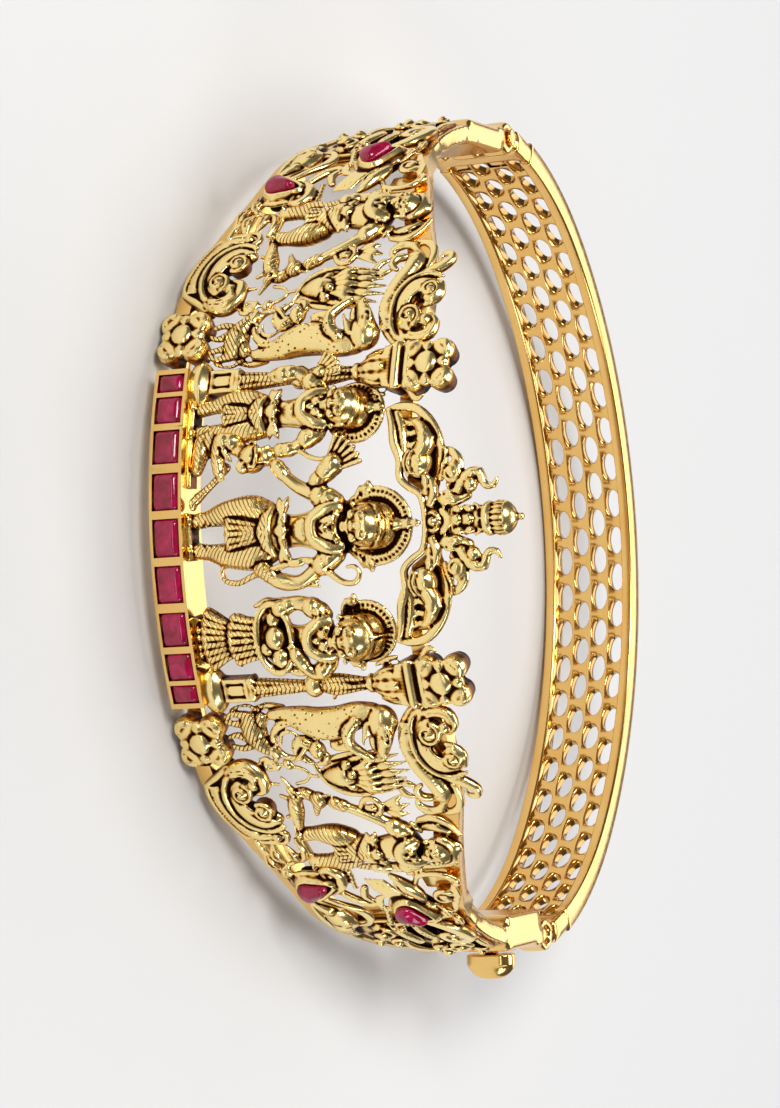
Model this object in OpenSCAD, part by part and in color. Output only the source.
// Hinged temple-work kada: a pierced back band and a tall cast front with figures, pillars and rubies.
// Modelled lying on its lower edge. Ring axis is nearly upright, the plaque faces -Y, figures stand up +Z.
// Cast pieces are laid out flat as u (along the front), v (height), w (outward), then bent to the oval.

/* [Back band] */
// Half width of the wrist opening, along X
inner_half_width = 30; // [29:0.5:31]
// Depth of the wrist opening behind the ring's centre
inner_half_depth = 25.9; // [25.5:0.1:26.5]
// Inner radius of the band where it turns at both ends
inner_end_radius = 23; // [22:0.5:24]
// Height of the band
band_w = 7.6; // [7:0.2:8.4]
// Thickness of the band at its rims
band_t = 1.8; // [1.6:0.1:2]
// Height of each rim
rim_w = 0.9; // [0.7:0.1:1]
// Depth of the sheet behind the inner rim faces
sheet_inset = 0.55; // [0.4:0.05:0.7]
// Thickness of the pierced sheet
sheet_t = 0.85; // [0.7:0.05:1]

/* [Piercing] */
// Length of one slot along the band
slot_l = 2.25; // [1.9:0.05:2.4]
// Width of one slot
slot_w = 1.25; // [1:0.05:1.35]
// Distance from slot to slot in one row
slot_pitch = 3.05; // [2.9:0.05:3.4]
// Distance from row to row
row_pitch = 1.5; // [1.45:0.05:1.6]

/* [Front] */
// Half width of the front wall's outer face
front_half_width = 31; // [30.5:0.1:31.2]
// Depth of the front wall's outer face ahead of the ring's centre
front_half_depth = 28.8; // [28.4:0.1:29]
// Outer radius of the front wall where it turns at both ends
front_end_radius = 26.5; // [26:0.5:27]
// Thickness of the front wall
wall_t = 1.6; // [1.4:0.1:1.7]
// Height of the lower rail
low_rail_h = 1.15; // [1:0.05:1.4]
// Height of the upper rail
top_rail_h = 1.9; // [1.5:0.1:2.1]

/* [Rubies] */
// Half length of the ruby channel along the front
bar_half_u = 11.55; // [11.4:0.05:11.6]
// Top of the ruby channel
bar_top = -4.62; // [-4.7:0.02:-4.55]
// Height of the ruby channel
bar_h = 2.5; // [2.3:0.1:2.6]
// Outward reach of the ruby channel ahead of the wall
bar_out = 1.3; // [1.1:0.1:1.4]
// Depth of the seats that hold the rubies
seat_depth = 0.9; // [0.7:0.1:1]

/* [Hinge and clasp] */
// Distance of the hinge and clasp axes from the middle, along X
axis_x = 30.35; // [30.2:0.05:30.5]
// Distance of both axes behind the ring's centre
axis_y = 3.6; // [3.2:0.1:4]
// Radius of the knuckles
knuckle_r = 1.3; // [1.2:0.05:1.35]
// Radius of the hinge pin
pin_r = 0.55; // [0.5:0.05:0.6]
// Radius of the clasp screw's shank
shank_r = 0.6; // [0.5:0.05:0.65]
// Running clearance on radius
run_gap = 0.06; // [0.04:0.01:0.08]
// Gap between neighbouring knuckles
knuckle_gap = 0.2; // [0.15:0.05:0.3]
// Radius of the clasp screw's head
screw_head_r = 0.95; // [0.85:0.05:1]

/* [Castings] */
// Gap between a casting and what it is set on
seat_gap = 0.08; // [0.06:0.01:0.1]
// Facets round a limb
limb_fn = 6; // [6:1:8]
// Facets round a larger body
body_fn = 7; // [7:1:10]

/* [Hidden] */

gold = [0.91, 0.70, 0.32];
antique = [0.78, 0.58, 0.24];
ruby_red = [0.69, 0.06, 0.25];
LEFT = -1;
RIGHT = 1;

// A four-centre oval: half width a, half depth b, end radius r
function side_radius(a, b, r) = (r + b + pow(a - r, 2) / (b - r)) / 2;
function turn_angle(a, b, r) = atan2(a - r, side_radius(a, b, r) - b);

band_side_r = side_radius(inner_half_width, inner_half_depth, inner_end_radius);
band_centre = band_side_r - inner_half_depth;
band_end_x = inner_half_width - inner_end_radius;
band_turn = turn_angle(inner_half_width, inner_half_depth, inner_end_radius);
front_side_r = side_radius(front_half_width, front_half_depth, front_end_radius);
front_centre = front_side_r - front_half_depth;
front_end_x = front_half_width - front_end_radius;
front_turn = turn_angle(front_half_width, front_half_depth, front_end_radius);
front_turn_u = front_side_r * front_turn * PI / 180;

// Lower flowers: where they sit, how far their petals stand out, a petal's radius and its flat back
low_flower_u = 14.35;
low_flower_v = -5.8;
petal_out = 1.35;
low_petal_r = 1;
flower_back = -0.92;

// Angle along the front for a distance u, and the point that lies w outward there at height v
function front_angle(u) = sign(u) * (abs(u) <= front_turn_u ? abs(u) / front_side_r
    : front_turn * PI / 180 + (abs(u) - front_turn_u) / front_end_radius) * 180 / PI;
function relief_scale(u) = 1 - 0.4 * pow(min(abs(u), 46) / 46, 2);
function on_front(u, v, w) = let(
    f = front_angle(u),
    middle = abs(f) <= front_turn,
    r = (middle ? front_side_r : front_end_radius) + (w > 0 ? w * relief_scale(u) : w),
    cx = middle ? 0 : sign(f) * front_end_x,
    cy = middle ? front_centre : 0)
    [cx + r * sin(f), cy - r * cos(f), v];

// Lying on its lower edge, the ring leans back until the lower flowers meet the floor.
// It then rests on their outer petals and on the middle of the band's lower rim
petal_reach = petal_out * sin(45);
contact = on_front(low_flower_u + petal_reach, low_flower_v - petal_reach - low_petal_r, flower_back);
rim_y = inner_half_depth + band_t - 0.2;
rest_lean = atan(-contact[2] / (rim_y - contact[1]));
rest_rise = rim_y * sin(rest_lean);
rest_back = 1.24;
rest_side = -0.725;

// Edges of the front as columns u, v
LOW_EDGE = [[0, -7.1], [11, -7.3], [16, -7.3], [18, -7.2], [20, -6.8], [22, -6.1], [24, -5.4], [26, -4.8],
    [28, -4.3], [31, -4.05], [34, -3.9], [37, -3.2], [40, -2.2], [43, -1], [46, 0], [60, 0]];
TOP_EDGE = [[0, 12], [13, 12.2], [16, 12.3], [20, 11.9], [24, 10.6], [28, 9.4], [32, 8.2], [36, 7.7],
    [40, 7.6], [60, 7.6]];
plate_u = 34.5;

module in_rest() {
    translate([rest_side, rest_back, rest_rise])
        rotate([-rest_lean, 0, 0])
            children();
}

module at_front(u, v, w) {
    translate(on_front(u, v, w))
        rotate([0, 0, front_angle(u)])
            children();
}

// A strip of the front wall. lo and hi are tables of u, v; the offsets shift them; w0 to w1 is its depth
module wall_strip(us, lo, hi, lo_off, hi_off, w0, w1) {
    n = len(us) - 1;
    points = [for (u = us) each [
        on_front(u, lookup(abs(u), lo) + lo_off, w0),
        on_front(u, lookup(abs(u), lo) + lo_off, w1),
        on_front(u, lookup(abs(u), hi) + hi_off, w1),
        on_front(u, lookup(abs(u), hi) + hi_off, w0)]];
    sides = [for (i = [0:n - 1], k = [0:3]) each let(m = (k + 1) % 4) [
        [4 * i + k, 4 * i + m, 4 * i + 4 + m],
        [4 * i + k, 4 * i + 4 + m, 4 * i + 4 + k]]];
    ends = [[3, 2, 1], [3, 1, 0], [4 * n, 4 * n + 1, 4 * n + 2], [4 * n, 4 * n + 2, 4 * n + 3]];
    polyhedron(points, concat(sides, ends));
}

function steps(a, b, n) = [for (i = [0:n]) a + (b - a) * i / n];
function low_steps(g) = concat([16.6 - g], steps(18, 46.5, 12));
function top_steps(g) = concat([12.9 - g], steps(15, 46.5, 13));
function plate_steps(g) = concat([plate_u - g], steps(36, 46.5, 5));
function low_strip_steps() = steps(10.9, 17, 4);
function top_strip_steps(g) = concat([7.2 - g], steps(8.5, 13.5, 3));

// An arc of the front wall, between heights v0 and v1 and depths w0 and w1, over the middle |u| <= u1
module wall_arc(u1, v0, v1, w0, w1) {
    half = front_angle(u1);
    translate([0, front_centre, v0])
        rotate([0, 0, -90 - half])
            rotate_extrude(angle = 2 * half, $fn = 180)
                translate([front_side_r + w0, 0])
                    square([w1 - w0, v1 - v0]);
}

/* Rubies of the bar, as columns middle u, width */
BAR_STONES = [[-10.55, 1.35], [-8.65, 1.95], [-6.1, 2.4], [-3.08, 2.6], [0, 2.65], [3.08, 2.6], [6.1, 2.4],
    [8.65, 1.95], [10.55, 1.35]];
stone_h = bar_h - 0.75;
stone_v = bar_top - bar_h / 2;

module ruby_seat(i) {
    stone = BAR_STONES[i];
    at_front(stone[0], stone_v, bar_out)
        translate([-stone[1] / 2, 0.001 - seat_depth / 2, -stone_h / 2])
            translate([0, -seat_depth / 2, 0])
                cube([stone[1], 2 * seat_depth, stone_h]);
}

// Cabochon-cut bar ruby: straight girdle, bevelled crown and a flat table
module bar_ruby(i) {
    stone = BAR_STONES[i];
    wide = stone[1] - 2 * seat_gap;
    high = stone_h - 2 * seat_gap;
    color(ruby_red)
        in_rest()
            at_front(stone[0], stone_v, bar_out - seat_depth + seat_gap)
                rotate([90, 0, 0]) {
                    translate([-wide / 2, -high / 2, 0])
                        cube([wide, high, 0.72]);
                    hull() {
                        translate([-wide / 2 + 0.04, -high / 2 + 0.04, 0.7])
                            cube([wide - 0.08, high - 0.08, 0.05]);
                        translate([-wide / 2 + 0.35, -high / 2 + 0.35, 1])
                            cube([wide - 0.7, high - 0.7, 0.1]);
                    }
                }
}

// Barrel for a hinge or clasp knuckle, from z0 to z1, with its shoulders turned down
module barrel(z0, z1, r, bore) {
    rotate_extrude($fn = 48)
        polygon([[bore, z0], [r - 0.25, z0], [r, z0 + 0.25], [r, z1 - 0.25], [r - 0.25, z1], [bore, z1]]);
}

knuckle_third = (band_w - 2 * knuckle_gap) / 3;
front_knuckles = [[0, knuckle_third], [band_w - knuckle_third, band_w]];
band_knuckle = [knuckle_third + knuckle_gap, band_w - knuckle_third - knuckle_gap];
wall_end_y = axis_y - knuckle_r - 0.2;
block_y = -4.2;
band_end_y = axis_y + knuckle_r + 0.2;

// Solid end of the front, from the relief to the knuckles. The clasp end is a hollow box, open below
module end_block(side) {
    block_in = side == RIGHT ? 2.7 : 1.9;
    difference() {
        union() {
            translate([side == RIGHT ? 30.95 - block_in : -30.95, block_y, 0])
                cube([block_in, wall_end_y - block_y, band_w]);
            for (k = front_knuckles) {
                translate([side * axis_x, axis_y, 0])
                    barrel(k[0], k[1], knuckle_r, pin_r);
                translate([side * axis_x - knuckle_r / 2 - 0.15, wall_end_y - 0.4, k[0]])
                    cube([knuckle_r + 0.3, axis_y - wall_end_y - 0.2, k[1] - k[0]]);
            }
        }
        translate([side * axis_x, axis_y, -1])
            cylinder(r = (side == RIGHT ? shank_r : pin_r) + run_gap, h = band_w + 2, $fn = 48);
        if (side == RIGHT)
            translate([30.95 - block_in + 0.5, block_y + 0.7, -1])
                cube([block_in - 1.05, wall_end_y - block_y - 1.35, band_w]);
    }
}

module front_frame() {
    color(gold)
        in_rest()
            difference() {
                union() {
                    wall_arc(bar_half_u, bar_top - bar_h, bar_top, -wall_t, bar_out);
                    for (side = [LEFT, RIGHT]) {
                        flip_u(side)
                            wall_strip(low_steps(0), LOW_EDGE, LOW_EDGE, 0, low_rail_h, -wall_t, 0);
                        flip_u(side)
                            wall_strip(top_steps(0), TOP_EDGE, TOP_EDGE, -top_rail_h, 0, -wall_t, -0.2);
                        flip_u(side)
                            wall_strip(plate_steps(0), LOW_EDGE, TOP_EDGE, 0.4, -0.4, -wall_t, -0.8);
                        flip_u(side)
                            wall_strip(low_strip_steps(), LOW_EDGE, LOW_EDGE, 0.05, low_rail_h, -wall_t, -1);
                        flip_u(side)
                            wall_strip(top_strip_steps(0), TOP_EDGE, TOP_EDGE, -1.5, -0.5, -wall_t, -1);
                        end_block(side);
                    }
                }
                for (i = [0:len(BAR_STONES) - 1])
                    ruby_seat(i);
                bar_piercing();
                knob_post(run_gap);
            }
}

// Mirrors a piece laid out on the right to the left
module flip_u(side) {
    mirror([side == LEFT ? 1 : 0, 0, 0])
        children();
}

// Openings cut up into the underside of the ruby channel
module bar_piercing() {
    pierce_w = 1.1;
    for (i = [-3:3])
        at_front(i * 2.9, bar_top - bar_h, 0.05)
            translate([0, 0, -0.5])
                linear_extrude(1.1)
                    polygon([[-1.05, pierce_w / 2], [1.05, pierce_w / 2], [0.35, -pierce_w / 2],
                        [-0.35, -pierce_w / 2]]);
}

// Band. Narrow soldered seams join its back and end arcs
seam_l = 0.8;
seam_proud = 0.03;
band_ang_end = acos(band_end_y / (inner_end_radius + band_t / 2));

// Section of the band from radius r out: two thick rims and the thinner sheet between. g grows it all round
module band_profile(r, g) {
    r0 = r - g;
    r1 = r + band_t + g;
    s0 = r + sheet_inset - g;
    s1 = r + sheet_inset + sheet_t + g;
    top = band_w + g;
    low_rim = rim_w + g;
    top_rim = band_w - rim_w - g;
    polygon([[r0, -g], [r1 - 0.2, -g], [r1, 0.2 - g], [r1, low_rim], [s1, low_rim], [s1, top_rim],
        [r1, top_rim], [r1, top - 0.2], [r1 - 0.2, top], [r0, top], [r0, top_rim], [s0, top_rim],
        [s0, low_rim], [r0, low_rim]]);
}

module band_arcs() {
    translate([0, -band_centre, 0])
        rotate([0, 0, 90 - band_turn])
            rotate_extrude(angle = 2 * band_turn, $fn = 180)
                band_profile(band_side_r, 0);
    for (side = [LEFT, RIGHT])
        flip_u(side)
            translate([band_end_x, 0, 0])
                rotate([0, 0, 90 - band_ang_end])
                    rotate_extrude(angle = band_ang_end - band_turn, $fn = 180)
                        band_profile(inner_end_radius, 0);
    for (side = [LEFT, RIGHT])
        flip_u(side)
            translate([band_end_x, 0, 0])
                rotate([0, 0, 90 - band_turn])
                    rotate([90, 0, 0])
                        linear_extrude(seam_l, center = true)
                            band_profile(inner_end_radius, seam_proud);
}

// Angle and centre along the band for a distance s from the middle of the back
band_mid = sheet_inset + sheet_t / 2;
band_turn_s = (band_side_r + band_mid) * band_turn * PI / 180;
function band_angle(s) = sign(s) * (abs(s) <= band_turn_s ? abs(s) / (band_side_r + band_mid)
    : band_turn * PI / 180 + (abs(s) - band_turn_s) / (inner_end_radius + band_mid)) * 180 / PI;

module at_band(s, z) {
    f = band_angle(s);
    middle = abs(s) <= band_turn_s;
    translate([middle ? 0 : sign(s) * band_end_x, middle ? -band_centre : 0, z])
        rotate([0, 0, -f])
            translate([0, (middle ? band_side_r : inner_end_radius) + band_mid, 0])
                children();
}

module slot() {
    rotate([90, 0, 0])
        translate([0, 0, -sheet_t])
            linear_extrude(2 * sheet_t) {
                for (side = [LEFT, RIGHT])
                    translate([side * (slot_l - slot_w) / 2, 0])
                        circle(d = slot_w, $fn = 32);
                square([slot_l - slot_w, slot_w], center = true);
            }
}

slots_half = 12;

// The band end keeps two hooks that straddle the captive screw
module clasp_lug() {
    notch_w = 2 * (shank_r + 0.14);
    difference() {
        union() {
            translate([axis_x, axis_y, 0])
                barrel(band_knuckle[0], band_knuckle[1], knuckle_r, 0);
            translate([axis_x - 0.9, axis_y + 0.4, band_knuckle[0]])
                cube([1.8, band_end_y - axis_y + 0.2, band_knuckle[1] - band_knuckle[0]]);
        }
        translate([axis_x, axis_y, 0])
            cylinder(d = notch_w, h = band_w, $fn = 48);
        translate([axis_x - notch_w / 2, axis_y - 3, 0])
            cube([notch_w, 3, band_w]);
    }
}

module hinge_lug() {
    difference() {
        union() {
            translate([-axis_x, axis_y, 0])
                barrel(band_knuckle[0], band_knuckle[1], knuckle_r, 0);
            translate([-axis_x - 0.9, axis_y + 0.4, band_knuckle[0]])
                cube([1.8, band_end_y - axis_y + 0.2, band_knuckle[1] - band_knuckle[0]]);
        }
        translate([-axis_x, axis_y, 0])
            cylinder(r = pin_r + run_gap, h = band_w, $fn = 48);
    }
}

module back_band() {
    color(gold)
        in_rest() {
            difference() {
                band_arcs();
                for (i = [-slots_half:slots_half], k = [-1, 1])
                    at_band(i * slot_pitch, band_w / 2 + k * row_pitch * 1.5 * (k > 0 ? 1 : 1 / 3))
                        slot();
                for (i = [-slots_half:slots_half - 1], k = [-1, 1])
                    at_band((i + 0.5) * slot_pitch, band_w / 2 + k * row_pitch * 1.5 * (k < 0 ? 1 : 1 / 3))
                        slot();
            }
            for (side = [LEFT, RIGHT])
                flip_u(side)
                    translate([band_end_x, 0, 0])
                        rotate([0, 0, 90 - band_ang_end])
                            rotate_extrude(angle = 5, $fn = 180)
                                translate([inner_end_radius + 0.05, 0.05])
                                    square([band_t - 0.1, band_w - 0.1]);
            hinge_lug();
            clasp_lug();
        }
}

module hinge_pin() {
    color(gold)
        in_rest()
            translate([-axis_x, axis_y, 0]) {
                cylinder(r = pin_r, h = band_w, $fn = 48);
                translate([0, 0, band_w + 0.05])
                    cylinder(r = pin_r + 0.2, h = 0.2, $fn = 48);
                translate([0, 0, -0.25])
                    cylinder(r = pin_r + 0.2, h = 0.2, $fn = 48);
                translate([0, 0, -0.1])
                    cylinder(r = pin_r, h = band_w + 0.2, $fn = 48);
            }
}

// Captive thumb screw: it turns in the ears and clamps the band's hooks
module clasp_screw() {
    head_low = -2.3;
    head_high = -0.5;
    color(gold)
        in_rest()
            translate([axis_x, axis_y, 0])
                difference() {
                    union() {
                        cylinder(r = shank_r, h = band_w - 0.3, $fn = 48);
                        translate([0, 0, head_high - 0.1])
                            cylinder(r = shank_r, h = 0.7, $fn = 48);
                        rotate_extrude($fn = 48)
                            polygon([[0, head_low], [screw_head_r - 0.3, head_low],
                                [screw_head_r, head_low + 0.3], [screw_head_r, head_high - 0.2],
                                [screw_head_r - 0.2, head_high], [0, head_high]]);
                    }
                    translate([-2, -0.15, head_low - 0.1])
                        cube([4, 0.3, 0.55]);
                }
}

module knob_post(gap) {
    translate([28.6, -2.3, 5.2])
        rotate([0, 90, 0])
            cylinder(r = 0.5 + gap, h = 3, $fn = 32);
}

// Oval grip knob on the outside of the clasp end, split by a notch
module clasp_knob() {
    color(gold)
        in_rest() {
            difference() {
                translate([31.2, -2.3, 5.2])
                    rotate([0, 90, 0])
                        linear_extrude(1.9) {
                            for (side = [LEFT, RIGHT])
                                translate([side * 0.95, 0])
                                    circle(r = 0.95, $fn = 40);
                            square([1.9, 1.9], center = true);
                        }
                translate([32.7, -4, 5.1])
                    cube([1, 4, 0.2]);
            }
            knob_post(0);
        }
}

// Casting parts, bent to the front
// A bead with a round outline seen from the front and a crest at its middle
module bead(u, v, w, r) {
    at_front(u, v, w)
        for (s = [-90, 90])
            rotate([s, 0, 0])
                cylinder(r1 = r, r2 = 0, h = 0.85 * r, $fn = limb_fn);
}

// A limb row: u, v, w, radius at one end, then the same at the other
module limb(a) {
    hull() {
        bead(a[0], a[1], a[2], a[3]);
        bead(a[4], a[5], a[6], a[7]);
    }
}

module limbs(rows) {
    for (a = rows)
        limb(a);
}

// A lump row: u, v, w, then half sizes along u, v, w
module lumps(rows) {
    for (a = rows)
        at_front(a[0], a[1], a[2])
            scale([a[3], a[5], a[4]])
                sphere(1, $fn = body_fn);
}

function heading(rows, i) = let(
    a = rows[max(i - 1, 0)],
    b = rows[min(i + 1, len(rows) - 1)],
    l = norm([b[0] - a[0], b[1] - a[1]]))
    [(b[0] - a[0]) / l, (b[1] - a[1]) / l];

// A bent ribbon through rows of u, v, w, half width, with a flat back, narrower face and pointed ends.
// Two rows make a leaf
module rod(rows, back = -0.55) {
    last = len(rows) - 1;
    tip0 = rows[0] - concat(0.8 * rows[0][3] * heading(rows, 0), [0, 0]);
    tip1 = rows[last] + concat(0.8 * rows[last][3] * heading(rows, last), [0, 0]);
    around = [for (i = [0:last], k = [-1, -0.5, 0.5, 1]) let(t = heading(rows, i), c = -rows[i][3] * k)
        on_front(rows[i][0] + c * t[1], rows[i][1] - c * t[0],
            abs(k) == 1 ? back : rows[i][2] + 0.8 * rows[i][3])];
    end = 4 * last;
    points = concat(around, [on_front(tip0[0], tip0[1], back + 0.1), on_front(tip1[0], tip1[1], back + 0.1)]);
    sides = [for (i = [0:last - 1], k = [0:3]) each let(m = (k + 1) % 4) [
        [4 * i + k, 4 * i + 4 + m, 4 * i + 4 + k],
        [4 * i + k, 4 * i + m, 4 * i + 4 + m]]];
    tips = [for (k = [0:3]) each let(m = (k + 1) % 4) [
        [m, k, end + 4],
        [end + k, end + m, end + 5]]];
    polyhedron(points, concat(sides, tips));
}

module leaves(rows, back) {
    for (a = rows)
        rod([[a[0], a[1], a[2], a[3]], [a[4], a[5], a[6], a[7]]], back);
}

// Rows for a volute that winds in from radius r0 to r1 over some turns, starting at an angle
function volute(u, v, w, r0, r1, start, turns, thick, n = 5) = [for (i = [0:n])
    let(t = i / n, a = start + 360 * turns * t, r = r0 + (r1 - r0) * t)
    [u + r * cos(a), v + r * sin(a), w, thick * (1 - 0.35 * t)]];

module disc(u, v, w, r, depth, sides) {
    at_front(u, v, w)
        rotate([90, 0, 0])
            cylinder(r = r, h = depth, $fn = sides);
}

function mirror_rows(side, rows, cols) = side == RIGHT ? rows
    : [for (a = rows) [for (k = [0:len(a) - 1]) len(search(k, cols)) > 0 ? -a[k] : a[k]]];

// Keeps a casting clear of the front frame's rails, plates and channel
module clear_of_frame() {
    g = seat_gap;
    difference() {
        children();
        wall_arc(bar_half_u + g, bar_top - bar_h - g, bar_top + g, -wall_t - 1, bar_out + g);
        for (side = [LEFT, RIGHT])
            flip_u(side) {
                wall_strip(low_steps(g), LOW_EDGE, LOW_EDGE, -g, low_rail_h + g, -wall_t - 1, g);
                wall_strip(top_steps(g), TOP_EDGE, TOP_EDGE, -top_rail_h - g, g, -wall_t - 1, g - 0.2);
                wall_strip(plate_steps(g), LOW_EDGE, TOP_EDGE, 0.3, -0.3, -wall_t - 1, g - 0.8);
                wall_strip(low_strip_steps(), LOW_EDGE, LOW_EDGE, -g, low_rail_h + g, -wall_t - 1, g - 1);
                wall_strip(top_strip_steps(g), TOP_EDGE, TOP_EDGE, -1.5 - g, g - 0.5, -wall_t - 1, g - 1);
                translate([28, block_y - g, -g])
                    cube([2.95 + g, 5, band_w + 2 * g]);
            }
    }
}

module casting() {
    color(antique)
        in_rest()
            clear_of_frame()
                children();
}

// Figures
module halo(u, v, r) {
    disc(u, v, -0.55, r, 0.4, 14);
}

// Body of a standing figure. h is its size against the centre archer's
module standing_body(u, v, h) {
    limbs([for (side = [LEFT, RIGHT]) each [
        [u + side * 1.1 * h, v + 0.35, 0.2, 0.45, u + side * 1.35 * h, v + 2.7 * h, 0.2, 0.75 * h],
        [u + side * 1.35 * h, v + 2.7 * h, 0.2, 0.75 * h, u + side * 1.1 * h, v + 5.7 * h, 0.1, 1.05 * h],
        [u + side * 1.2 * h, v + 0.3, 0.3, 0.4, u + side * 1.3 * h, v + 0.25, 0.9, 0.35]]]);
    hull() {
        translate(on_front(u, v + 5.4 * h, 0.9))
            sphere(0.5 * h, $fn = limb_fn);
        for (side = [LEFT, RIGHT])
            translate(on_front(u + side * 1.25 * h, v + 3.3 * h, 1))
                sphere(0.4 * h, $fn = limb_fn);
    }
    lumps([
        [u, v + 6.9 * h, 0.2, 1.95 * h, 0.6 * h, 1.1 * h],
        [u, v + 7.3 * h, 1.1, 0.45 * h, 0.45 * h, 0.4 * h],
        [u, v + 8.2 * h, 0.1, 1.35 * h, 1.3 * h, 0.85 * h],
        [u, v + 10.3 * h, 0.15, 1.9 * h, 1.5 * h, 0.95 * h],
        [u, v + 13.3 * h, 0.3, 1.08 * h, 1.25 * h, 1.05 * h]]);
    limb([u, v + 11.2 * h, 0.1, 0.7 * h, u, v + 12.4 * h, 0.15, 0.6 * h]);
    limb([u, v + 14.3 * h, 0.2, 0.95 * h, u, v + 15.3 * h, 0.1, 0.6 * h]);
}

foot_v = bar_top + 0.12;

module centre_archer() {
    casting() {
        standing_body(0, foot_v, 1);
        halo(0, 9.4, 2.5);
        limb([0, 10.8, 0.1, 0.6, 0, 12.6, 0.1, 0.2]);
        limbs([
            [-1.9, 6.4, 0.2, 0.6, -3, 4.1, 0.5, 0.45],
            [-3, 4.1, 0.5, 0.45, -4.5, 2.5, 1, 0.36],
            [-2.6, 5.2, -0.3, 0.5, -4.3, 6.6, -0.3, 0.6],
            [-4.2, 6.6, -0.3, 0.35, -5.3, 8, -0.3, 0.16],
            [-4.2, 6.6, -0.3, 0.35, -4.3, 8.1, -0.3, 0.16],
            [1.9, 6.4, 0.2, 0.6, 3.4, 3.6, 0.4, 0.5],
            [3.4, 3.6, 0.4, 0.5, 2.4, 1.2, 0.9, 0.4]]);
        rod([[2.9, 7.9, 0, 0.24], [3.75, 7.5, 0, 0.28], [3.4, 6.4, 0, 0.3], [2.2, 5.2, 0, 0.3],
            [2.1, 3.4, 0.3, 0.3], [2.4, 0.4, 0.3, 0.3], [3.2, -0.7, 0, 0.28], [3, -1.9, 0, 0.26],
            [2.3, -2.1, 0, 0.24]]);
        for (side = [LEFT, RIGHT])
            limb([side * 2.1, 8.3, -0.3, 0.25, side * 2.8, 8.7, -0.3, 0.36]);
    }
}

module side_archer() {
    u = -8.1;
    casting()
        difference() {
            union() {
                standing_body(u, foot_v, 0.83);
                halo(u + 0.2, 7.8, 2.1);
                limbs([
                    [u - 1.4, 4.9, 0.5, 0.5, -10.5, 3.8, 1.2, 0.42],
                    [-10.5, 3.8, 1.2, 0.42, -10.7, 1.7, 1.5, 0.5],
                    [u + 1.4, 4.9, 0.2, 0.48, -5.7, 3.6, 0.3, 0.4]]);
                rod([[-5.6, 6.6, -0.2, 0.22], [-4.95, 5.7, -0.2, 0.26], [-5.2, 4.5, 0, 0.28],
                    [-5.6, 3.4, 0.2, 0.3]]);
            }
            flip_u(LEFT)
                pillar_space();
        }
}

module lotus_lady() {
    u = 7.15;
    casting() {
        for (tier = [[-4.1, 1.72, -1.9, 1.35], [-1.8, 1.9, 1, 1.45]])
            skirt_tier(u, tier[0], tier[1], tier[2], tier[3]);
        lumps([
            [u, 3.6, 0.1, 1.3, 1.5, 0.8],
            [u, 4.8, 0.15, 1.75, 1, 0.85],
            [u + 0.1, 7.4, 0.35, 1.18, 1.25, 1.05],
            [u - 1.1, 1.5, 0.9, 0.75, 0.8, 0.6],
            [u + 0.1, 1.5, 1, 0.75, 0.8, 0.6],
            [u + 1.3, 1.5, 0.9, 0.75, 0.8, 0.6]]);
        halo(u, 7.9, 2.05);
        limbs([
            [u, 5.6, 0.1, 0.6, u, 6.4, 0.2, 0.5],
            [u - 0.8, -4.15, 0.6, 0.35, u - 0.9, -4.15, 1.2, 0.3],
            [u + 0.8, -4.15, 0.6, 0.35, u + 0.9, -4.15, 1.2, 0.3]]);
        rod([for (i = [0:8]) let(a = 45 * i)
            [u - 0.1 + 2.3 * cos(a), 1.5 + 1.35 * sin(a), 1.2, 0.32]], 0.7);
        for (side = [LEFT, RIGHT])
            limbs([
                [u + side * 1.6, 5.1, 0.1, 0.5, u + side * 2.15, 3.4, 0.3, 0.42],
                [u + side * 2.15, 3.4, 0.3, 0.42, u + side * 1.9, 1.9, 0.9, 0.36]]);
    }
}

// One flared tier of a skirt, from height low with half width r_low up to high with half width r_high
module skirt_tier(u, low, r_low, high, r_high) {
    hull() {
        translate(on_front(u, low, 0))
            scale([1, 0.5, 1])
                cylinder(r = r_low, h = 0.4, $fn = 12);
        translate(on_front(u, high, 0))
            scale([1, 0.6, 1])
                cylinder(r = r_high, h = 0.3, $fn = 12);
    }
}

module kneeling_monkey() {
    casting()
        difference() {
            union() {
                lumps([
                    [-5.1, 0.5, 0.35, 0.95, 1.1, 0.9],
                    [-4.5, -0.1, 0.75, 0.5, 0.45, 0.5],
                    [-5.9, -1.2, 0.1, 0.95, 1.1, 0.8],
                    [-6.1, -3, 0.1, 0.9, 1.05, 0.85]]);
                limbs([
                    [-6, -3.1, 0.5, 0.7, -4.3, -3.75, 0.6, 0.5],
                    [-5.6, -1.1, 0.8, 0.42, -5.1, -2, 1.1, 0.4],
                    [-5.1, -2, 1.1, 0.4, -3.9, -1.7, 1, 0.34],
                    [-4.4, -1.9, 0.1, 0.4, -2.7, -3.7, 0.1, 0.34],
                    [-2.7, -4, 0.3, 0.34, -2.2, -4.05, 0.8, 0.3],
                    [-5.6, -4, 0.3, 0.3, -4, -4.05, 0.4, 0.3],
                    [-5.5, -2.5, 0.2, 0.5, -4.4, -1.9, 0.1, 0.42],
                    [-5.7, 1.2, 0, 0.4, -5.6, 2, 0, 0.25]]);
            }
            standing_clear(0, foot_v, 1);
            standing_clear(-8.1, foot_v, 0.83);
        }
}

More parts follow.
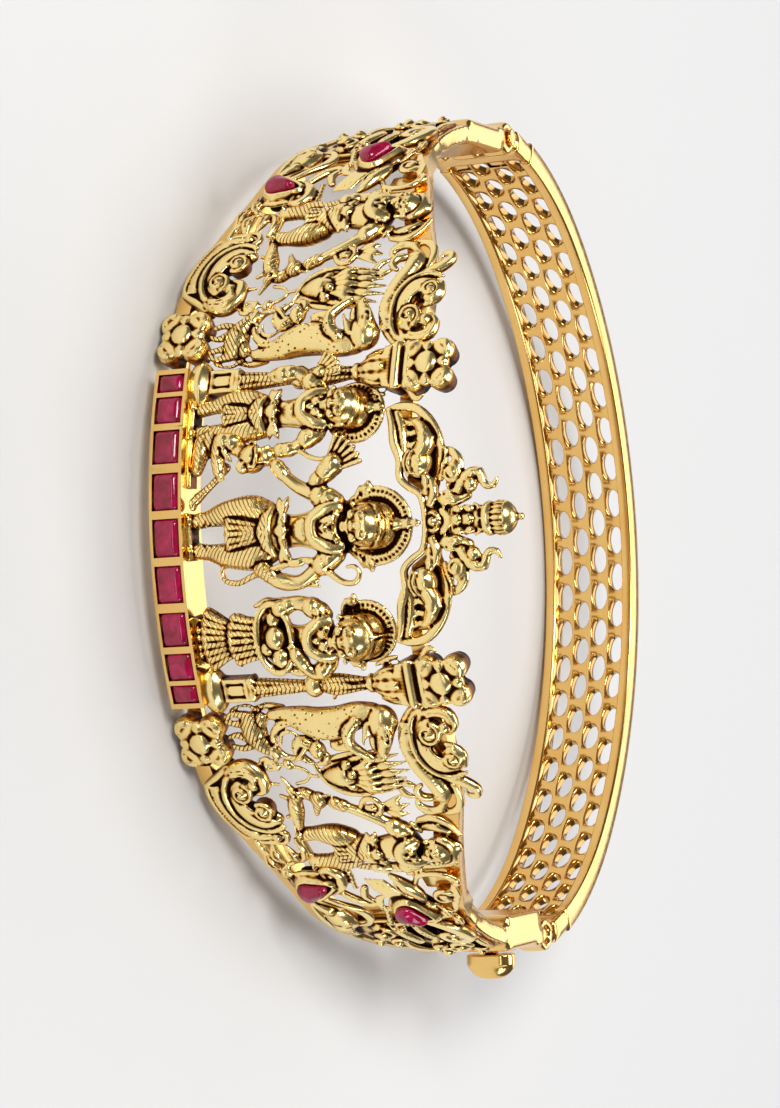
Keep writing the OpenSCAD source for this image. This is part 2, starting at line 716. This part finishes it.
// Space that a standing figure's legs and cloth take, with a little air
module standing_clear(u, v, h) {
    for (side = [LEFT, RIGHT])
        limbs([
            [u + side * 1.1 * h, v + 0.2, 0.2, 0.6, u + side * 1.35 * h, v + 2.7 * h, 0.2, 0.85 * h],
            [u + side * 1.35 * h, v + 2.7 * h, 0.2, 0.85 * h, u + side * 1.1 * h, v + 5.7 * h, 0.1, 1.15 * h],
            [u + side * 1.2 * h, v + 0.2, 0, 0.6, u + side * 1.3 * h, v + 0.2, 1.2, 0.6]]);
}

// Beasts and guards
module lion(side) {
    m = function(rows) mirror_rows(side, rows, [0, 4]);
    casting()
        difference() {
            union() {
                lumps(mirror_rows(side, [
                    [14.1, 7.9, 0.4, 1.5, 1.1, 1],
                    [15.3, 7.4, 0.5, 0.7, 0.55, 0.6],
                    [13.2, 6.1, 0.2, 1, 1.2, 0.85],
                    [13.3, -1.7, 0.2, 1.25, 0.85, 0.8]], [0]));
                limbs(m([
                    [13.1, 6, 0.2, 1.1, 13.1, 3, 0.2, 1],
                    [13.1, 3, 0.2, 1, 12.8, 0.4, 0.2, 0.6],
                    [13.6, 4.6, 0.1, 0.6, 14.6, 3.4, 0.1, 0.4],
                    [13.3, 5.5, 0.8, 0.45, 14.6, 5.2, 1, 0.4],
                    [14.6, 5.2, 1, 0.4, 15.6, 6.1, 0.9, 0.35],
                    [12.9, 0.5, 0.2, 0.5, 13, -1.2, 0.2, 0.7],
                    [12.7, -2, 0.2, 0.4, 12.9, -3.5, 0.3, 0.3],
                    [14.1, -1.9, 0.2, 0.4, 14.3, -3.5, 0.3, 0.3],
                    [14.2, -1.2, 0.3, 0.55, 15.4, -0.3, 0.4, 0.4],
                    [15.4, -0.2, 0.2, 0.3, 15.9, 1.3, 0.2, 0.32],
                    [13.9, 1.9, 0.3, 0.3, 13.6, 0.8, 0.3, 0.32],
                    [13.6, 0.8, 0.3, 0.32, 14.4, -0.3, 0.3, 0.3],
                    [14.7, 3, 0.3, 0.65, 14.9, 1.5, 0.4, 0.5],
                    [14.9, 1.3, 0.4, 0.35, 15.9, 1.4, 0.5, 0.3]]));
            }
            flip_u(side)
                pillar_space();
        }
}

module plume(side) {
    casting()
        difference() {
            union() {
                rod(mirror_rows(side, [[16.4, 2.2, 0, 0.25], [17.6, 2.6, 0, 0.42], [18.6, 3.9, 0, 0.45],
                    [18.9, 5.4, 0, 0.3], [18.6, 6.3, 0, 0.2]], [0]));
                rod(mirror_rows(side, [[16.5, 2.5, 0.1, 0.25], [16.1, 3.6, 0.1, 0.3], [16.3, 5, 0.1, 0.25],
                    [16.6, 5.9, 0.1, 0.2]], [0]));
                limbs(mirror_rows(side, concat(
                    [[17.1, 3, 0.5, 0.5, 17.3, 4.9, 0.5, 0.75]],
                    [for (k = [-2:2]) [17.3 + 0.35 * k, 5.2, 0.4, 0.42, 17.35 + 0.78 * k,
                        8.1 - 0.16 * k * k, 0.2, 0.2]]), [0, 4]));
                rod(mirror_rows(side, [[15.9, 0.2, 0, 0.3], [16.6, 0.3, 0, 0.2], [17, 1.3, 0, 0.18],
                    [17.6, 1.2, 0, 0.18], [17.9, 0.2, 0, 0.2]], [0]));
                limbs(mirror_rows(side, [[17.3, 1.2, 0, 0.25, 17.2, 2.4, 0, 0.3]], [0, 4]));
            }
            flip_u(side)
                lion_space();
        }
}

// Air round the lion's head, forelegs and rider, so the plume beside it stays clear
module lion_space() {
    limbs([
        [15.3, 7.4, 0.5, 1, 14.6, 8, 0.4, 1.4],
        [14.6, 5.2, 1, 0.55, 15.6, 6.1, 0.9, 0.5],
        [14.7, 3, 0.3, 0.8, 14.9, 1.5, 0.4, 0.65],
        [14.9, 1.3, 0.4, 0.5, 15.9, 1.4, 0.5, 0.45],
        [15.4, -0.2, 0.2, 0.45, 15.9, 1.3, 0.2, 0.47],
        [14.2, -1.2, 0.3, 0.7, 15.4, -0.3, 0.4, 0.55]]);
}

module guard(side) {
    u = 24.5;
    m = function(rows) mirror_rows(side, rows, [0, 4]);
    casting() {
        lumps(mirror_rows(side, [
            [u, 9.2, 0.5, 0.95, 1.05, 0.9],
            [u + 0.2, 6.6, 0.2, 1.5, 1.15, 0.9],
            [u - 0.1, 4.6, 0.2, 1.2, 1, 0.85],
            [u - 0.5, 3.3, 0.2, 1.7, 1.1, 0.95]], [0]));
        limbs(m([
            [u - 0.1, 9.9, 0.4, 0.8, u + 0.2, 11, 0.3, 0.35],
            [u + 0.1, 7.4, 0.3, 0.5, u, 8.3, 0.4, 0.5],
            [u - 1.2, 3, 0.2, 0.9, u - 2, 1.2, 0.3, 0.6],
            [u - 2, 1.2, 0.3, 0.6, u - 1.6, -0.7, 0.4, 0.4],
            [u, 2.7, 0.2, 0.9, u + 0.6, 0.6, 0.3, 0.65],
            [u + 0.6, 0.6, 0.3, 0.65, u + 0.3, -0.9, 0.4, 0.4],
            [u - 0.5, 2.9, 1, 0.5, u - 0.2, 1.4, 1.1, 0.6],
            [u - 1.4, 7, 0.4, 0.42, u - 3.2, 5.2, 0.5, 0.36],
            [u - 3.2, 5.2, 0.5, 0.36, u - 4.2, 3.2, 0.5, 0.36],
            [u - 4.2, 3.2, 0.5, 0.4, u - 4.8, 1.4, 0.4, 0.5],
            [u - 4.9, 1.2, 0.3, 0.4, u - 5.3, -0.2, 0.3, 0.6],
            [u - 5.2, -0.4, 0.3, 0.6, u + 0.8, -1.05, 0.3, 0.38],
            [u - 3.2, 5.3, 0.4, 0.34, u - 3.7, 6.8, 0.2, 0.34],
            [u - 3.7, 6.8, 0.2, 0.4, u - 4.6, 7.4, 0.2, 0.3],
            [u + 1.4, 7, 0.2, 0.42, u + 1.9, 5.2, 0.3, 0.38]]));
        rod(mirror_rows(side, [for (i = [0:4]) let(a = 60 + 40 * i)
            [u - 0.5 + 1.7 * cos(a), 9.5 + 1.5 * sin(a), -0.2, 0.32]], [0]));
    }
}

// A ribbed boat-shaped scroll with two volutes and a lifted tip
module scroll(u, v, lift) {
    back = 0.1;
    rod([[u - 3.3, v + 2.9, 0.3, 0.45], [u - 3.3, v + 1.4, 0.5, 0.85], [u - 2.2, v - 0.3, 0.5, 0.95],
        [u - 0.3, v - 0.9, 0.5, 0.95], [u + 1.5, v - 0.5, 0.4, 0.85], [u + 2.6, v + 0.6, 0.4, 0.6],
        [u + 2.7, v + lift - 0.4, 0.3, 0.5], [u + 3.1, v + lift + 0.6, 0.2, 0.35]], back);
    rod(volute(u - 1.5, v + 0.7, 0.9, 0.95, 0.25, 200, 1.05, 0.36), back);
    rod(volute(u + 0.3, v + 1.9, 0.8, 0.95, 0.25, -30, 1.05, 0.36), back);
    rod([[u - 0.9, v - 0.2, 0.8, 0.4], [u + 0.9, v + 0.3, 0.8, 0.4], [u + 1.8, v + 1.6, 0.7, 0.4],
        [u + 1.7, v + 2.9, 0.4, 0.35]], back);
    for (k = [0:5])
        at_front(u - 1.1 + 0.62 * k, v - 1.15 + 0.045 * k * k, 1)
            rotate([0, 8 + 5 * k, 0])
                cube([0.3, 0.9, 0.95], center = true);
}

module scroll_low(side) {
    color(antique)
        in_rest()
            flip_u(side)
                difference() {
                    scroll(19.7, -4.9, 1.9);
                    flower_space(low_flower_u, low_flower_v, 2.5);
                }
}

module scroll_top(side) {
    color(antique)
        in_rest()
            flip_u(side)
                difference() {
                    scroll(16.8, 10.6, 2.4);
                    flower_space(10.7, 13.2, 2.3);
                    at_front(pillar_u, 0, -0.1)
                        translate([-1.75 - seat_gap, -2, 9.5])
                            cube([3.5 + 2 * seat_gap, 3, 2.45 + seat_gap]);
                }
}

// Peacock with a pear ruby at its breast, a coiled neck and a swept tail
PEACOCKS = [[28, -1.8, 1, 15], [31, 4.6, -1, -35]];
cab_w = 0.85;
cab_l = 1.1;

module pear(w0, h, grow) {
    hull() {
        cylinder(r = cab_w + grow, h = h, $fn = 16);
        translate([0, cab_l + 0.35, 0])
            cylinder(r = 0.25 + grow, h = h, $fn = 8);
    }
}

module at_pear(side, k) {
    bird = PEACOCKS[k];
    flip_u(side)
        at_front(bird[0], bird[1] - 0.3, 0.9)
            rotate([90, 0, 0])
                rotate([0, 0, bird[3]])
                    children();
}

module peacock(side) {
    casting()
        difference() {
            union() {
                for (k = [0, 1])
                    at_pear(side, k)
                        translate([0, 0, -1.1])
                            pear(0, 1.65, 0.42);
                flip_u(side) {
                    rod([[28.5, -0.5, 0.7, 0.4], [28.1, 0.6, 0.7, 0.42], [26.7, 0.9, 0.7, 0.45],
                        [26.1, -0.1, 0.7, 0.42], [26.9, -0.4, 0.7, 0.36]], 0.1);
                    rod([[30.2, 3.4, 0.7, 0.4], [29.3, 4.6, 0.6, 0.6], [28.2, 5.3, 0.6, 0.85],
                        [27.2, 5, 0.5, 0.6], [26.6, 4, 0.2, 0.4]], 0.1);
                    rod([[28.9, -0.8, 0.5, 0.35], [29.6, 0.8, 0.6, 0.45], [30.6, 1.9, 0.5, 0.42],
                        [29.6, 2.4, 0.3, 0.45], [28.2, 1.7, 0.1, 0.45]], 0.1);
                    rod([[29.7, -2, 0.3, 0.5], [30.2, -0.3, 0.3, 0.5], [31.6, 0.7, 0.3, 0.55],
                        [33.2, 0.9, 0.3, 0.55], [34.6, 0, 0.2, 0.5], [35, -1.4, 0.1, 0.45]], 0.1);
                    rod([[33.4, 0.2, 0.2, 0.5], [35, 1.5, 0.1, 0.6], [36.8, 2.6, 0, 0.75],
                        [38.8, 3.6, 0, 0.7], [40.9, 4.2, 0, 0.5]], -0.7);
                    rod([[32.2, 2.3, 0.3, 0.6], [33.4, 3.8, 0.2, 0.75], [35.8, 4.4, 0.1, 0.6],
                        [37.4, 5.4, 0, 0.5], [36.4, 6.6, 0, 0.42]], -0.7);
                    rod([[24, -2.6, 0.2, 0.45], [23.9, -3.6, 0.3, 0.6], [25.4, -4, 0.4, 0.75],
                        [27, -3.7, 0.4, 0.7], [29, -3.2, 0.2, 0.6], [31.4, -3, 0, 0.5]], 0.1);
                    rod([[26.7, 8.9, 0, 0.35], [26.9, 7, 0, 0.45], [26.8, 5, 0, 0.45], [26.5, 2.8, 0, 0.4],
                        [26.4, 0.8, 0, 0.35]], 0.1);
                    leaves([
                        [31.9, -1.7, 0.4, 1.1, 34, -2.2, 0.1, 0.9],
                        [30.2, -2.2, 0.2, 0.7, 31.4, -0.6, 0.2, 0.5],
                        [27.2, 8.4, 0, 0.5, 29.4, 7.6, 0.2, 0.9],
                        [29.3, 7.4, 0.2, 0.9, 32.4, 6.8, 0.2, 0.7],
                        [28.9, 4, 0.1, 0.7, 28.2, 2.4, 0.1, 0.5],
                        [29.6, 3, 0.1, 0.6, 32.6, 2, 0.1, 0.6],
                        [32.9, 5.7, 0.2, 0.9, 35, 6.3, 0.1, 0.8]], 0.1);
                    leaves([
                        [36.3, 5.8, 0, 0.9, 39.4, 6.4, 0, 0.7],
                        [39.2, 6.4, 0, 0.7, 42.6, 5.2, 0, 0.6],
                        [35.4, -1.2, 0, 0.8, 38.4, 0.5, 0, 0.9],
                        [38.2, 0.6, 0, 0.9, 41.8, 2.8, 0, 0.7]], 0);
                }
            }
            for (k = [0, 1])
                at_pear(side, k)
                    translate([0, 0, -0.55 - seat_gap])
                        pear(0, 3, seat_gap);
            flip_u(side)
                guard_space();
        }
}

// Air round the guard so that the peacock beside it stays clear
module guard_space() {
    u = 24.5;
    limbs([
        [u, 9.2, 0.5, 1.25, u + 0.2, 10.9, 0.3, 0.6],
        [u + 0.2, 6.6, 0.2, 1.65, u - 0.1, 4.6, 0.2, 1.4],
        [u - 0.5, 3.3, 0.2, 1.8, u - 0.4, 3, 0.2, 1.7],
        [u, 2.7, 0.2, 1.05, u + 0.6, 0.6, 0.3, 0.8],
        [u + 0.6, 0.6, 0.3, 0.8, u + 0.3, -0.9, 0.4, 0.6],
        [u - 3.6, -0.8, 0.3, 0.6, u + 1, -1.1, 0.3, 0.55],
        [u + 1.4, 7, 0.2, 0.6, u + 1.9, 5.2, 0.3, 0.55]]);
}

module cabochon(side, k) {
    color(ruby_red)
        in_rest()
            at_pear(side, k)
                translate([0, 0, -0.55]) {
                    pear(0, 1, 0);
                    hull() {
                        translate([0, 0, 0.98])
                            cylinder(r = cab_w - 0.05, h = 0.05, $fn = 16);
                        translate([0, cab_l + 0.25, 0.98])
                            cylinder(r = 0.2, h = 0.05, $fn = 8);
                        translate([0, 0.15, 1.4])
                            cylinder(r = 0.4, h = 0.05, $fn = 8);
                    }
                }
}

// Pillars
pillar_u = 10.75;
pillar_low = bar_top + 0.1;

module pillar(side) {
    color(antique)
        in_rest()
            flip_u(side)
                at_front(pillar_u, 0, -0.1) {
                    rotate_extrude($fn = 40)
                        polygon([[0, pillar_low], [0.9, pillar_low], [1.75, pillar_low + 0.5], [1.75, -3.6],
                            [1.55, -3.4], [0, -3.4]]);
                    difference() {
                        translate([-1, -0.85, -3.5])
                            cube([2, 1.5, 2.4]);
                        translate([-0.55, -1.1, -3.1])
                            cube([1.1, 0.45, 1.6]);
                    }
                    rotate_extrude($fn = 40)
                        polygon([[0, -1.2], [0.62, -1.2], [0.58, 2.9], [0.5, 3], [0.85, 3.3], [0.85, 3.6],
                            [0.5, 3.9], [0.82, 4.6], [0.55, 7.4], [0.78, 7.6], [0.78, 7.9], [0.5, 8.1],
                            [0.95, 8.5], [1.2, 9.9], [0, 9.9]]);
                    translate([-1.3, -1, 9.85])
                        cube([2.6, 1.5, 0.95]);
                    translate([-1.75, -1.25, 10.75])
                        cube([3.5, 1.75, 0.4]);
                    translate([-1.6, -1.1, 11.1])
                        cube([3.2, 1.6, 0.5]);
                    translate([-1.75, -1.25, 11.55])
                        cube([3.5, 1.75, 0.4]);
                }
}

// Air round the right-hand pillar
module pillar_space() {
    g = 0.1;
    at_front(pillar_u, 0, -0.1) {
        translate([0, 0, pillar_low - g])
            cylinder(r = 1.75 + g, h = 1.4 + g, $fn = 24);
        translate([-1 - g, -0.85 - g, -3.5])
            cube([2 + 2 * g, 1.5 + 2 * g, 2.4 + g]);
        translate([0, 0, -1.3])
            cylinder(r = 0.85 + g, h = 9.4, $fn = 24);
        translate([0, 0, 8.1])
            cylinder(r = 1.2 + g, h = 1.8, $fn = 24);
        translate([-1.75 - g, -1.25 - g, 9.8])
            cube([3.5 + 2 * g, 1.9 + 2 * g, 2.1 + g]);
    }
}

// Flowers: four thick petals round a boss
module flower(u, v, w0, w1, r) {
    at_front(u, v, w0)
        rotate([90, 0, 0]) {
            for (i = [0:3])
                rotate([0, 0, 45 + 90 * i]) {
                    translate([petal_out, 0, 0])
                        cylinder(r = r, h = w1 - w0 - 0.25, $fn = 28);
                    translate([petal_out, 0, w1 - w0 - 0.3])
                        cylinder(r = r - 0.25, h = 0.3, $fn = 28);
                }
            cylinder(r = 1, h = w1 - w0, $fn = 28);
            translate([0, 0, w1 - w0])
                sphere(0.65, $fn = 28);
        }
}

module flower_low(side) {
    color(antique)
        in_rest()
            flip_u(side)
                flower(low_flower_u, low_flower_v, flower_back, 1.4, low_petal_r);
}

module flower_top(side) {
    color(antique)
        in_rest()
            flip_u(side)
                difference() {
                    flower(10.7, 13.2, -0.9, 1.3, 0.9);
                    at_front(pillar_u, 0, -0.1)
                        translate([-1.75 - seat_gap, -1.6, 10])
                            cube([3.5 + 2 * seat_gap, 2.5, 1.95 + seat_gap]);
                }
}

module flower_space(u, v, r) {
    at_front(u, v, -2)
        rotate([90, 0, 0])
            cylinder(r = r, h = 5, $fn = 24);
}

// Arch over the centre archer, with a creature's head in each wing
module arch() {
    casting()
        difference() {
            union()
                for (side = [LEFT, RIGHT])
                    flip_u(side) {
                        rod([[7.5, 10.5, 0, 0.38], [7.6, 12, 0, 0.4], [6.7, 13.4, 0, 0.42], [5.2, 14.2, 0, 0.45],
                            [3.4, 14.3, 0, 0.45], [1.6, 14.1, 0, 0.5]]);
                        rod([[7.5, 10.5, 0, 0.38], [6, 10.95, 0, 0.4], [4.4, 11.35, 0, 0.4], [3.1, 11.5, 0, 0.4],
                            [2.3, 12.5, 0, 0.38], [1.3, 13.2, 0, 0.4], [0, 13.4, 0, 0.42]]);
                        lumps([[4, 12.9, 0.4, 1.1, 0.9, 0.7]]);
                        limb([4, 13, 0.3, 0.6, 4.2, 14.3, 0.1, 0.45]);
                        limb([4.6, 13.3, 0.4, 0.55, 6, 12.7, 0.3, 0.4]);
                        limb([1.6, 13.6, 0.3, 0.5, 2.6, 13.4, 0.3, 0.5]);
                        rod([[5.2, 14.5, 0, 0.35], [3.9, 15.2, 0, 0.5], [2.9, 14.9, 0.2, 0.5], [2, 14.7, 0.2, 0.5]]);
                        rod([[2.4, 15.3, 0, 0.45], [3, 16.3, 0, 0.45], [3.1, 17.2, 0, 0.36], [2.3, 17.6, 0, 0.26],
                            [2, 18.1, 0, 0.22]]);
                        limb([3, 16.3, 0, 0.4, 1.5, 16, 0, 0.45]);
                    }
            at_front(0, 14, -0.1)
                cylinder(r = 1.25 + seat_gap, h = 7, $fn = 32);
            limb([0, 10.8, 0.1, 0.7, 0, 12.6, 0.1, 0.3]);
        }
}

module finial() {
    color(antique)
        in_rest()
            at_front(0, 0, -0.1)
                rotate_extrude($fn = 40)
                    polygon([[0, 14], [0.9, 14], [1.05, 14.5], [0.85, 15.1], [1.1, 15.6], [0.85, 16.2],
                        [1.15, 16.5], [0.9, 17.2], [1.2, 17.4], [1.2, 17.8], [0.95, 18], [1.15, 18.5],
                        [1, 19.1], [0.5, 19.5], [0.15, 19.6], [0.28, 19.85], [0.1, 20.1], [0, 20.1]]);
}

front_frame();
back_band();
hinge_pin();
clasp_screw();
clasp_knob();
arch();
finial();
pillar(LEFT);  // pillar_left
pillar(RIGHT);  // pillar_right
centre_archer();
side_archer();
lotus_lady();
kneeling_monkey();
lion(LEFT);  // lion_left
lion(RIGHT);  // lion_right
plume(LEFT);  // plume_left
plume(RIGHT);  // plume_right
guard(LEFT);  // guard_left
guard(RIGHT);  // guard_right
scroll_low(LEFT);  // scroll_low_left
scroll_low(RIGHT);  // scroll_low_right
scroll_top(LEFT);  // scroll_top_left
scroll_top(RIGHT);  // scroll_top_right
flower_low(LEFT);  // flower_low_left
flower_low(RIGHT);  // flower_low_right
flower_top(LEFT);  // flower_top_left
flower_top(RIGHT);  // flower_top_right
peacock(LEFT);  // peacock_left
peacock(RIGHT);  // peacock_right
bar_ruby(0);  // ruby_1
bar_ruby(1);  // ruby_2
bar_ruby(2);  // ruby_3
bar_ruby(3);  // ruby_4
bar_ruby(4);  // ruby_5
bar_ruby(5);  // ruby_6
bar_ruby(6);  // ruby_7
bar_ruby(7);  // ruby_8
bar_ruby(8);  // ruby_9
cabochon(LEFT, 0);  // cabochon_low_left
cabochon(RIGHT, 0);  // cabochon_low_right
cabochon(LEFT, 1);  // cabochon_top_left
cabochon(RIGHT, 1);  // cabochon_top_right
